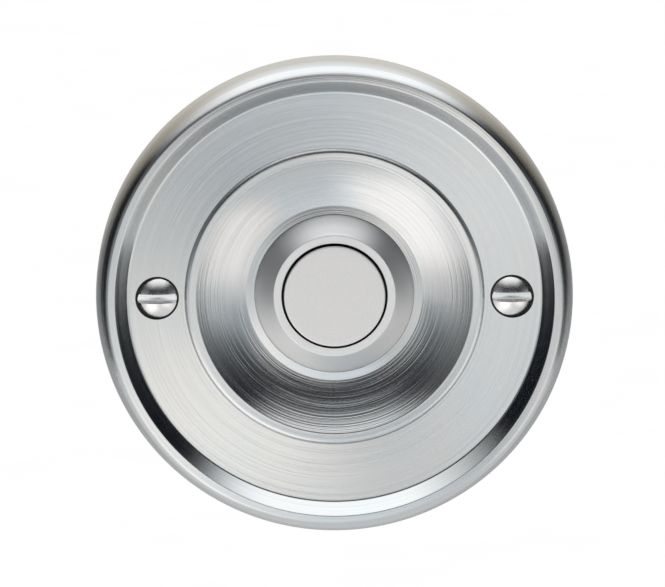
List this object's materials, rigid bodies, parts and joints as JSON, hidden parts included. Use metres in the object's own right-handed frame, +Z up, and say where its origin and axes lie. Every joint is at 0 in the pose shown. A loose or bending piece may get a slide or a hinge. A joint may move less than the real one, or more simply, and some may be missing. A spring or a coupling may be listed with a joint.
{
  "type": "doorbell push button",
  "caption": "Round satin steel wall plate with a rolled rim, dished centre and a sprung flat push button in a conical collar, closing a bell circuit behind the wall.",
  "frame": {"origin": "middle of the wall face, on the plate's axis, at the back of the rim", "axes": "the front faces -Y, +Y goes into the wall, +Z is up and the two fixing screws stand along X"},
  "size_m": [0.076, 0.0277, 0.076],
  "materials": {
    "satin_steel": "circular brushed satin",
    "screw_steel": "fine satin",
    "smooth_steel": "fine turned satin",
    "blasted_steel": "bead blasted",
    "seal_rubber": "matte",
    "plated_steel": "zinc plated",
    "nut_brass": "nickel plated, turned",
    "spring_steel": "drawn and oiled",
    "plunger_acetal": "turned",
    "contact_bronze": "rolled sheet",
    "guide_nylon": "moulded",
    "base_phenolic": "moulded",
    "terminal_brass": "turned"
  },
  "bodies": {
    "plate": {"face_plate": "satin_steel", "fixing_screws": "screw_steel", "push_collar": "smooth_steel", "collar_seal": "seal_rubber", "nut_washer": "plated_steel", "collar_nut": "nut_brass", "return_spring": "spring_steel", "guide_cup": "guide_nylon", "contact_base": "base_phenolic", "contact_post_left": "terminal_brass", "contact_post_right": "terminal_brass", "terminal_washers": "plated_steel", "terminal_screws": "terminal_brass", "retaining_ring": "spring_steel"},
    "button": {"push_button": "blasted_steel", "plunger": "plunger_acetal", "contact_disc": "contact_bronze", "disc_clip": "spring_steel"}
  },
  "joints": [
    {"name": "button_press", "type": "slide", "parent": "plate", "child": "button", "axis": [0, 1, 0], "range_m": [0, 0.0015], "stiffness_N_per_m": 600, "springref_m": -0.0015, "deforming": ["return_spring"]}
  ]
}
